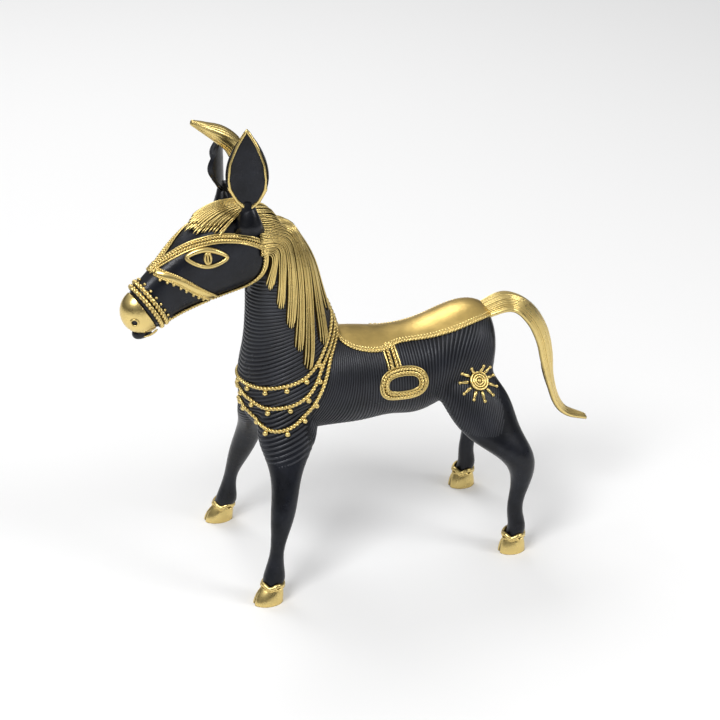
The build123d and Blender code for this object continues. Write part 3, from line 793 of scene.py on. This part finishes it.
# Necklaces: twisted rope with beads.
def makeNecklaces():
    withersX, withersZ = chestX + 46.5, standHeight + 44.0
    strands = {"upper": (7.5, 0.5), "middle": (1.5, -4.0), "lower": (-4.5, -8.5)}
    for index, (name, (drop, sag)) in enumerate(strands.items()):
        back = index * 2.8
        frontZ = standHeight + drop
        guide = [
            (chestX - 1.5, frontZ), (chestX + 9.0, frontZ + sag), (chestX + 27.0, frontZ + 5.0 + 0.6 * sag),
            (withersX - 7.5 + back, standHeight + 27.5 - index), (withersX + back, withersZ - 1.5 * back),
        ]
        dense = smoothLine(sidePoints(guide), 260)
        places = castOn(dense, flankWay)
        reach = np.linalg.norm(places - dense, axis=1)
        places[0] = nearestSkin(dense[:1])[0][0]
        places[0][1] = 0.0
        keep = [0] + [i for i in range(3, len(places)) if places[i][1] < -1.0 and reach[i] < 60]
        half = places[keep]
        half = np.vstack([half, nearestSkin(dense[-1:] * [1, 0, 1])[0]])
        half[-1][1] = 0.0
        whole = np.vstack([half[::-1] * [1, -1, 1], half[1:]])
        line, normals = laidLine(whole, 0.8, 0.0, False, 8)
        strand = Casting()
        trim(strand, line, normals, [("right", 0.0, 1.05)])
        strand.make(f"{name}Necklace", gold, f"{name}_necklace")
        lengths = runLengths(line)
        beads = Casting()
        spacing = 10.5
        for number in range(-5, 6):
            spot = 0.5 * lengths[-1] + (number + 0.25 * (index - 1)) * spacing
            at = int(np.searchsorted(lengths, spot))
            if not 0 < at < len(line):
                continue
            below = line[at] - up * 2.5
            place, normal = nearestSkin([below])
            beads.ball(place[0] + normal[0] * 1.0, 1.45, normal[0], 0.9, 12)
            knot, knotNormal = nearestSkin([line[at] - up * 1.0])
            beads.ball(knot[0] + knotNormal[0] * 0.7, 0.7, knotNormal[0], 1.0, 8)
        beads.make(f"{name}NecklaceBeads", gold, f"{name}_necklace_beads")


makeNecklaces()
print("necklaces done")


# Bridle, eyes and muzzle, set out along the head.
def headPoint(u, v, z):
    return headPivot + headAhead * u + headAcross * v + up * z


def cheekPoints(shares):
    return np.array([headPoint(u * headLength, 0.0, z * headDepth) for u, z in shares])


headPlane = (headPivot, headAcross)
headStations = np.array([
    (-0.02, -0.02, 6.0), (0.16, 0.1, 14.0), (0.38, 0.26, 21.0), (0.57, 0.6, 27.0),
    (0.72, 0.93, 30.0), (0.86, 1.31, 30.0),
])


def headRing(share):  # middle, direction along the head and upward direction of a ring round the head
    drop, tilt = (np.interp(share, headStations[:, 0], headStations[:, column]) for column in (1, 2))
    tilt = math.radians(tilt)
    run = headAhead * math.cos(tilt) - up * math.sin(tilt)
    return headPoint(share * headLength, 0.0, -drop * headDepth), run, np.cross(headAcross, run)


def strip(name, points, way, layout, node):
    line, normals = laidLine(castOn(points, way))
    piece = Casting()
    trim(piece, line, normals, layout)
    piece.makeBoth(name, headPlane, node)
    return line, normals


def makeBridle():
    brow = [
        (0.8, -0.2), (0.71, -0.1), (0.6, -0.04), (0.5, -0.06),
        (0.41, -0.1), (0.27, -0.24), (0.16, -0.4), (0.13, -0.46),
    ]
    slant = (headAcross + up) * headDepth / math.sqrt(2)
    browGuide = [headPivot + headAhead * u * headLength + slant * w for u, w in brow]
    layout = [("wire", -1.95, 0.5), ("right", -0.75, 0.78), ("left", 0.75, 0.78), ("wire", 1.95, 0.5)]
    strip("browStrips", smoothLine(browGuide), headAcross - up, layout, "brow_strip")
    cheek = [
        (0.15, 0.1), (0.12, -0.12), (0.125, -0.6), (0.18, -0.92), (0.27, -1.1), (0.4, -1.2), (0.44, -1.21),
    ]
    layout = [("wire", -0.9, 0.7), ("right", 0.6, 0.85)]
    strip("cheekStraps", smoothLine(cheekPoints(cheek)), headAcross, layout, "cheek_strap")
    nose = [(0.78, -0.28), (0.68, -0.46), (0.55, -0.86), (0.43, -1.2)]
    layout = [("band", 0.0, 1.7), ("right", -1.75, 0.62), ("left", 1.75, 0.62)]
    line, normals = strip("noseStraps", smoothLine(cheekPoints(nose)), headAcross, layout, "nose_strap")
    jaw = [(0.46, -1.22), (0.54, -1.32), (0.64, -1.44), (0.73, -1.6)]
    strip("jawCords", smoothLine(cheekPoints(jaw)), headAcross, [("right", 0.0, 0.9)], "jaw_cord")
    drops = Casting()
    for share in np.linspace(0.1, 0.85, 8):
        at = int(share * (len(line) - 1))
        aside = np.cross(tangents(line), normals)[at]
        aside *= math.copysign(1.0, aside @ headAhead)
        place, normal = nearestSkin([line[at] + aside * 2.7])
        drops.ball(place[0] + normal[0] * 0.5, 0.85, normal[0], 0.9, 8)
    drops.makeBoth("bridleDrops", headPlane, "bridle_drops")
    bands, small = Casting(), Casting()
    for share in (0.8, 0.829, 0.858):
        middle, run, above = headRing(share)
        places = []
        for turn in fullTurn(72):
            way = math.cos(turn) * headAcross + math.sin(turn) * above
            place = struck(middle, way)
            places.append(place if place is not None else middle + way * 8.0)
        line, normals = laidLine(np.array(places), 0.8, 0.0, True, 3)
        trim(bands, line, normals, [("right", 0.0, 1.2)], True)
        if share == 0.8:
            bandLine, bandRun = line, run
    bands.make("nosebands", gold, "nosebands")
    for index in range(0, len(bandLine), 5):
        place, normal = nearestSkin([bandLine[index] - bandRun * 2.2])
        small.ball(place[0] + normal[0] * 0.5, 0.8, normal[0], 0.9, 8)
    small.make("nosebandDrops", gold, "left_noseband_drops", "right_noseband_drops")


def makeEyes():
    eye = {"u": 39.2, "halfLength": 10.0, "halfHeight": 4.3, "rim": 1.0}
    turns = fullTurn(90)
    outline = []
    for turn in turns:
        along = math.cos(turn)
        tall = math.copysign((1 - abs(along) ** 1.7) ** 0.9, math.sin(turn))
        height = eye["halfHeight"] * tall + 0.9 * along
        outline.append(headPoint(eye["u"] + eye["halfLength"] * along, 0.0, height))
    line, normals = laidLine(castOn(outline, headAcross), 0.6, 0.0, True, 2)
    rim = Casting()
    lid = eye["rim"] * (1.0 + 0.35 * smoothstep(line[:, 2], headPivot[2], headPivot[2] + 4))
    rim.tube(line + normals * 0.45, normals, lid, 10, True, 0.9)
    rim.makeBoth("eyeRims", headPlane, "eye_rim")
    pupil = Casting()
    oval = [headPoint(eye["u"] + 1.5 * math.cos(t), 0.0, 2.9 * math.sin(t)) for t in turns[::3]]
    line, normals = laidLine(castOn(oval, headAcross), 0.5, 0.0, True, 1)
    pupil.tube(line + normals * 0.5, normals, 0.62, 8, True)
    slit = [headPoint(eye["u"], 0.0, z) for z in np.linspace(-2.2, 2.2, 12)]
    line, normals = laidLine(castOn(slit, headAcross), 0.5, 0.0, False, 1)
    pupil.tube(line + normals * 0.25, normals, 0.55, 8)
    pupil.makeBoth("pupils", headPlane, "pupil")


def makeMuzzle():
    muzzle = {"share": 0.86, "across": 8.68, "tall": 11.7, "length": 10.9, "rows": 70, "columns": 110}
    nostril = {"across": 6.4, "up": 1.6, "radius": 1.5, "depth": 2.0}
    middle, run, above = headRing(muzzle["share"])
    size = np.array([muzzle["across"], muzzle["tall"], muzzle["length"]])
    basis = np.array([headAcross, above, run])
    mouths = []
    for side in (-1, 1):
        flat = np.array([side * nostril["across"], nostril["up"], 0.0]) / size
        flat[2] = math.sqrt(1 - flat[0] ** 2 - flat[1] ** 2)
        mouths.append((flat * size, unit([flat / size])[0]))
    rings, lifts = [], []
    for row in range(muzzle["rows"]):
        tilt = 0.5 * math.pi * row / (muzzle["rows"] - 1)
        narrow = math.cos(tilt)
        ring, shade = [], []
        for column in range(muzzle["columns"]):
            turn = 2 * math.pi * column / muzzle["columns"]
            flat = np.array([narrow * math.cos(turn), narrow * math.sin(turn), math.sin(tilt)])
            spot, out = flat * size, unit([flat / size])[0]
            away = min(np.linalg.norm(spot - mouth) for mouth, _ in mouths)
            pressed = 1 / (1 + math.exp(7 * (away / nostril["radius"] - 1)))
            ring.append(middle + (spot - out * nostril["depth"] * pressed) @ basis)
            # patina and painted shade: the cap is darker in the nostril hollows
            shade.append(1 - pressed)
        rings.append(ring)
        lifts.append(shade)
    cap = Casting()
    cap.rings(rings, lifts=lifts)
    cap.make("muzzleCap", gold, "muzzle_cap")
    holes, lips = Casting(), Casting()
    turns = fullTurn(36)
    for mouth, out in mouths:
        mouth, out = middle + mouth @ basis, out @ basis
        first = unit([np.cross(out, run)])[0]
        second = np.cross(out, first)
        circle = np.array([mouth + 1.85 * (math.cos(t) * first + math.sin(t) * second) for t in turns])
        lips.tube(circle - out * 0.1, np.tile(out, (36, 1)), 0.5, 8, True)
        holes.ball(mouth - out * 0.5, 1.55, out, 0.3, 14)
    lips.make("nostrilRims", gold)
    holes.make("nostrilHollows", black)
    lipTrim = Casting()
    lipLow, lipHigh = nodeBox("lower_lip")
    lipMiddle = 0.5 * (lipLow + lipHigh)
    under = middle - above * (muzzle["tall"] * 0.84)
    bend = np.linspace(-1.9, 1.9, 40)[:, None]
    arc = under + run * (2.2 + 5.6 * np.cos(bend)) + headAcross * 6.4 * np.sin(bend)
    out = unit(arc - lipMiddle)
    lipTrim.rope(arc, out, 0.6, 2.2)
    lipTrim.make("lipRope", gold)


makeBridle()
makeEyes()
makeMuzzle()
print("head trim done")


# Mane and forelock: locks of fine threads.
def neckRay(height, angle):  # a place on the neck: angle 0 is the crest, 180 the throat
    axisX = neckX + np.interp(height, [100, 120, 150, 180, 200], [1.5, 1.9, -0.3, -4.7, -5.7])
    way = Vector((math.cos(math.radians(angle)), -math.sin(math.radians(angle)), 0))
    return struck((axisX, 0, height), way)


# Angle and height of each lock's tip, from the cheek back to the withers, and how many threads it has.
maneLocks = [
    (124, 156, 5), (110, 146, 5), (96, 135.5, 5), (87, 123.5, 5),
    (76, 113.5, 6), (48, 123.5, 5), (20, 137.5, 4),
]


def pollRay(u, angle, side):  # a place behind the ears: angle 0 is on top of the head, 90 on its side
    way = up * math.cos(math.radians(angle)) - headAcross * side * math.sin(math.radians(angle))
    return struck(headPoint(u, 0.0, -3.0), way)


def maneGuide(share, side, tipAngle, tipHeight, number):  # one thread's way from the poll to its end
    look = {"rootAngle": 4.0, "spread": 108.0, "topHeight": 185.0}
    rootAngle = 5 + 88 * share
    guide = [pollRay(u, rootAngle, side) for u in (12.5, 9.5, 6.5)]
    startHeight = look["topHeight"] - 8 * share
    for step in np.linspace(0, 1, 44):
        height = startHeight + (tipHeight - startHeight) * step
        wave = 1.6 * noise.noise(Vector((step * 2.2, number * 0.45, side)))
        startAngle = look["rootAngle"] + look["spread"] * share
        angle = startAngle + (tipAngle - startAngle) * step ** 1.25 + wave
        place = neckRay(height, angle)
        guide.append(Vector((place[0], place[1] * side, place[2])))
    guide = evenly(softened(evenly(np.array(guide), 2.0), 4), 1.3)
    return nearestSkin(guide)


def makeMane():
    look = {"thread": 0.46, "root": 0.24, "height": 1.45, "step": 0.3}
    total = sum(count for _, _, count in maneLocks)
    for side, name in ((1, "left"), (-1, "right")):
        mane = Casting()
        number = 0
        for tipAngle, tipHeight, count in maneLocks:
            for index in range(count):
                across = 2 * (index + 0.5) / count - 1
                share = 1 - (number + 0.5) / total
                number += 1
                endHeight = tipHeight + 6.0 * (1 - math.sqrt(max(0.0, 1 - across * across)))
                line, normals = maneGuide(share, side, tipAngle - across * 7.5, endHeight, number)
                line = softened(line, 3)
                normals = unit(softened(normals, 6))
                edge = 1 - 0.5 * abs(across) ** 3
                taper = np.minimum(1, np.linspace(0, 8, len(line))[::-1] + 0.45)
                fine = np.interp(np.arange(len(line)), [0, 22], [look["root"] / look["thread"], 1])
                height = look["height"] * edge + look["step"] * (number % 2)
                mane.tube(line + normals * height, normals, look["thread"] * taper * fine, 6)
                aside = np.cross(tangents(line), normals) * 0.5
                under = line + normals * (0.42 * look["height"] * edge) + aside
                # painted shade: the lower layer of thinner threads is painted dark under the mane
                mane.tube(under, normals, 0.6 * taper * fine, 5, shade=0.3)
        mane.make(f"{name}Mane", gold, f"{name}_mane")


def makeForelock():
    look = {"threads": 30, "halfWidth": 11.5, "thread": 0.4}
    lock = Casting()
    for index in range(look["threads"]):
        across = 2 * (index + 0.5) / look["threads"] - 1
        jag = 1.5 * abs(math.sin(index * 1.37)) + 1.1 * math.sin(index * 0.63)
        reach = 43.5 - 11 * across ** 2 - jag
        for layer, height in ((0, 0.8), (1, 2.0)):
            guide = []
            for share in np.linspace(0, 1, 26):
                u = 13.0 + (reach - 2.5 * layer - 13.0) * share
                v = (0.35 + 0.65 * share ** 0.7) * look["halfWidth"] * (across + 0.03 * layer)
                place = struck(headPoint(u, v, 80.0), (0, 0, -1))
                if place is not None:
                    guide.append(place)
            line = evenly(np.array(guide), 1.2)
            line, normals = nearestSkin(line)
            normals = unit(softened(normals, 4))
            taper = np.minimum(1, np.linspace(0, 9, len(line))[::-1] + 0.5)
            puff = np.sin(np.linspace(0.25, 0.9, len(line)) * math.pi) * 1.1
            fine = np.interp(np.arange(len(line)), [0, 14], [0.5, 1])
            proud = height + puff + 0.3 * (index % 2)
            lock.tube(line + normals * proud[:, None], normals, look["thread"] * taper * fine, 6)
    lock.make("forelock", gold, "forelock")


makeMane()
makeForelock()
print("mane done")


# Plume and tail.
def makePlume():
    stations = np.array([
        (0.14, 0.1, 90.0, 2.6, 2.4), (0.17, 0.42, 84.0, 3.0, 2.8), (0.19, 0.66, 76.0, 3.8, 3.8),
        (0.235, 0.9, 58.0, 4.6, 4.8), (0.32, 1.06, 34.0, 4.4, 4.6), (0.42, 1.18, 24.0, 3.0, 3.0),
        (0.5, 1.27, 22.0, 1.4, 1.4),
    ])
    dense = smoothLine(stations, 70)
    rings, lifts = [], []
    for share, lift, lean, wide, thick in dense:
        lean = math.radians(lean)
        run = headAhead * math.cos(lean) + up * math.sin(lean)
        above = np.cross(run, headAcross)
        middle = headPoint(share * headLength, 0.0, 0.6 * headDepth + lift * 42.0)
        ring, shade = [], []
        for turn in fullTurn(56):
            groove = math.cos(9 * turn + 1.3 * math.sin(lift * 5)) ** 2
            size = 0.97 - 0.07 * groove
            ring.append(middle + size * (wide * math.cos(turn) * headAcross + thick * math.sin(turn) * above))
            # patina and painted shade: darker at the bottom of each groove
            shade.append(1 - 0.75 * groove ** 6)
        rings.append(ring)
        lifts.append(shade)
    plume = Casting()
    plume.rings(rings, lifts=lifts)
    plume.make("plume", gold, "plume")


tailStations = np.array([
    (0.0, 0.0, 28.0, 6.5, 5.0, 0.0), (13.0, 3.2, 2.0, 9.5, 5.0, 0.0), (23.0, -4.0, -42.0, 10.0, 6.0, 8.0),
    (30.5, -15.5, -60.0, 10.0, 5.6, 18.0), (34.5, -28.5, -75.0, 9.8, 4.8, 22.0),
    (37.0, -42.5, -76.0, 9.0, 3.4, 14.0), (41.5, -55.5, -62.0, 7.2, 2.4, 12.0),
    (48.0, -64.0, -42.0, 4.8, 1.6, 5.0), (59.0, -69.5, -15.0, 2.6, 1.2, 0.0),
])
tailRoot = np.array([chestX + 126.5, 0.0, standHeight + 23.0])


def tailPoint(station, place, inset):  # place runs from -1 to 1 over the arch of the tail
    x, z, lean, half, depth, twist = station
    lean, twist = math.radians(lean), math.radians(twist)
    run = np.array([math.cos(lean), 0.0, math.sin(lean)])
    side = np.array([0.0, 1.0, 0.0])
    above = np.cross(run, side)
    turned = side * math.cos(twist) + above * math.sin(twist)
    above = above * math.cos(twist) - side * math.sin(twist)
    radius = (half * half + depth * depth) / (2 * depth)
    spread = math.asin(min(1.0, half / radius)) * place
    reach = radius - inset
    out = turned * math.sin(spread) + above * math.cos(spread)
    return tailRoot + [x, 0, z] + above * (depth - radius) + out * reach, out


def tailLine(stations, place, inset):
    pairs = [tailPoint(station, place, inset) for station in stations]
    return np.array([point for point, _ in pairs]), np.array([out for _, out in pairs])


def makeTail():
    look = {"threads": 19, "wire": 1.15}
    dense = smoothLine(tailStations, 80)
    places = np.linspace(-1, 1, 24)
    outer, inner = (
        np.array([[tailPoint(station, place, inset)[0] for place in places[::-1]] for station in dense])
        for inset in (0.75, 1.5))
    sheet = Casting()
    sheet.plate(outer, inner)
    sheet.make("tailSheet", dullGold, "tail_sheet")
    threads = Casting()
    for index in range(look["threads"]):
        place = 0.93 * (2 * (index + 0.5) / look["threads"] - 1)
        line, out = tailLine(dense, place, 0.62 + 0.1 * math.sin(index * 2.1))
        narrow = np.interp(dense[:, 3], [2.6, 6.0, 10.0], [0.3, 0.5, 0.68])
        threads.tube(line, out, narrow, 6)
    threads.make("tailThreads", gold)
    wires = Casting()
    for place in (-1, 1):
        line, out = tailLine(dense, place, 0.7)
        wires.tube(line, out, look["wire"] * np.interp(dense[:, 3], [2.6, 6.0], [0.8, 1.0]), 12)
    wires.make("tailEdgeWires", gold, "tail_edge_wires")


makePlume()
makeTail()
print("plume and tail done")


# Ears, hooves and fetlock bands.
def makeHooves():
    look = {"rows": 16, "columns": 56, "cleft": 0.9}
    for end in ("front", "rear"):
        for side in ("left", "right"):
            low, high = nodeBox(f"{end}_{side}_hoof")
            legLow, legHigh = nodeBox(f"{end}_{side}_fetlock_band")
            soleMiddle = np.array([0.5 * (low[0] + high[0]), 0.5 * (low[1] + high[1]), 0.0])
            top = np.array([0.5 * (legLow[0] + legHigh[0]), 0.5 * (legLow[1] + legHigh[1]), high[2]])
            wide = 0.5 * (high[1] - low[1])
            long = 0.5 * (high[0] - low[0])
            rings, lifts = [], []
            for row in range(look["rows"]):
                share = row / (look["rows"] - 1)
                middle = soleMiddle + (top - soleMiddle) * share ** 1.5
                shrink = 1 - 0.3 * share ** 2.2
                ring, shade = [], []
                for column in range(look["columns"]):
                    turn = 2 * math.pi * column / look["columns"]
                    front = math.exp(-((turn - math.pi) / 0.13) ** 2)
                    ridge = 0.5 * math.exp(-((abs(turn - math.pi) - 0.42) / 0.2) ** 2)
                    cleft = front * look["cleft"] * (1 - share) / long
                    size = shrink * (1 - 0.03 * share) - cleft + ridge * 0.04
                    reach = [long * size * math.cos(turn), wide * shrink * math.sin(turn), high[2] * share]
                    ring.append(middle * [1, 1, 0] + reach)
                    # patina and painted shade: darker in the front cleft, fading upward
                    shade.append(1 - 0.9 * front * (1 - share))
                rings.append(ring)
                lifts.append(shade)
            hoof = Casting()
            points = np.array(rings)
            points[:, :, 0] = np.maximum(points[:, :, 0], low[0])
            hoof.rings(points, lifts=np.array(lifts))
            hoof.make(f"{end}_{side}_hoofCasting", gold, f"{end}_{side}_hoof")
            band = Casting()
            turns = fullTurn(64)
            ringX, ringY = 0.5 * (legHigh[0] - legLow[0]) - 1.25, 0.5 * (legHigh[1] - legLow[1]) - 1.25
            middleZ = 0.5 * (legLow[2] + legHigh[2])
            for lift, thick, size, waves, height in ((0.6, 1.25, 1.0, 4, 0.7), (-1.0, 0.75, 1.02, 7, 0.35)):
                line = np.array([
                    (
                        top[0] + ringX * size * math.cos(t), top[1] + ringY * size * math.sin(t),
                        middleZ + lift + height * math.sin(waves * t + 0.6),
                    ) for t in turns])
                out = np.array([(math.cos(t), math.sin(t), 0.0) for t in turns])
                band.tube(line, out, thick, 8, True)
            band.ball(np.array([top[0] - ringX - 0.2, top[1], middleZ + 0.8]), 1.2, [-1, 0, 0.3], 1.0, 12)
            band.make(f"{end}_{side}_fetlockScroll", gold, f"{end}_{side}_fetlock_band")


makeHooves()


def makeEars():
    ear = {
        "u": 17.6, "spread": 13.0, "lift": 16.38, "stub": 5.0, "bend": 13.0, "width": 20.0, "wall": 1.3,
        "rim": 0.82, "proud": 0.55,
    }
    for name, side, turn, height in (("left", -1, -60.0, 40.0), ("right", 1, 29.0, 31.0)):
        turn = math.radians(turn)
        facing = headAhead * math.cos(turn) + headAcross * math.sin(turn)
        beside = np.cross(up, facing)
        foot = headPoint(ear["u"], side * ear["spread"], ear["lift"])
        line, outward = [], []
        for share in np.linspace(0, 1, 60, endpoint=False):
            along = 1 - abs(2 * share - 1)
            half = np.interp(along, *earEdge) * 0.5 * ear["width"] * (1 if share < 0.5 else -1)
            bend = half / (ear["bend"] - 0.5 * ear["wall"])
            sunk = (ear["bend"] - 0.5 * ear["wall"]) * (1 - math.cos(bend))
            spot = foot + facing * (0.5 * ear["wall"] + sunk + ear["proud"])
            spot = spot + up * (ear["stub"] - 0.3 + (height + 0.6) * along)
            line.append(spot + beside * (ear["bend"] - 0.5 * ear["wall"]) * math.sin(bend))
            outward.append(facing)
        wobble = np.array([0.07 * math.sin(index * 0.9) for index in range(len(line))])
        rim = Casting()
        rim.tube(np.array(line), np.array(outward), ear["rim"] * (1 + wobble), 8, True)
        finish = gold if side < 0 else black  # the far rim has the black finish
        rim.make(f"{name}EarRim", finish, f"{name}_ear_rim", slot="polished_brass")
        root = Casting()
        rings = []
        for z, long, wide in earRoot:
            rings.append([
                foot + up * z + beside * long * math.cos(t) + facing * (wide * math.sin(t) + 0.4)
                for t in fullTurn(24)])
        root.rings(rings)
        root.make(f"{name}EarRoot", black)


earEdge = ((0.0, 0.12, 0.3, 0.42, 0.6, 0.8, 0.93, 1.0), (0.0, 0.52, 0.93, 1.0, 0.9, 0.5, 0.18, 0.0))
# Height, half length and half width of each ring of the stub under an ear.
earRoot = (
    (-6.0, 7.6, 6.0), (-2.0, 6.2, 5.0), (1.5, 4.9, 4.0), (4.0, 3.8, 3.0), (6.0, 2.4, 1.8), (7.5, 0.8, 0.6),
)
makeEars()
print("hooves and ears done")


# Floor.
def makeFloor():
    half = 6.0
    corners = [(-half, -half, 0), (half, -half, 0), (half, half, 0), (-half, half, 0)]
    mesh = bpy.data.meshes.new("floor")
    mesh.from_pydata(corners, [], [(0, 1, 2, 3)])
    floor = bpy.data.objects.new("floor", mesh)
    bpy.context.scene.collection.objects.link(floor)
    finish = Finish("floorPaint", Roughness=0.8)
    finish.shader.inputs["Base Color"].default_value = (0.9, 0.9, 0.9, 1)
    finish.shader.inputs["Specular IOR Level"].default_value = 0.1
    mesh.materials.append(finish.material)


makeFloor()
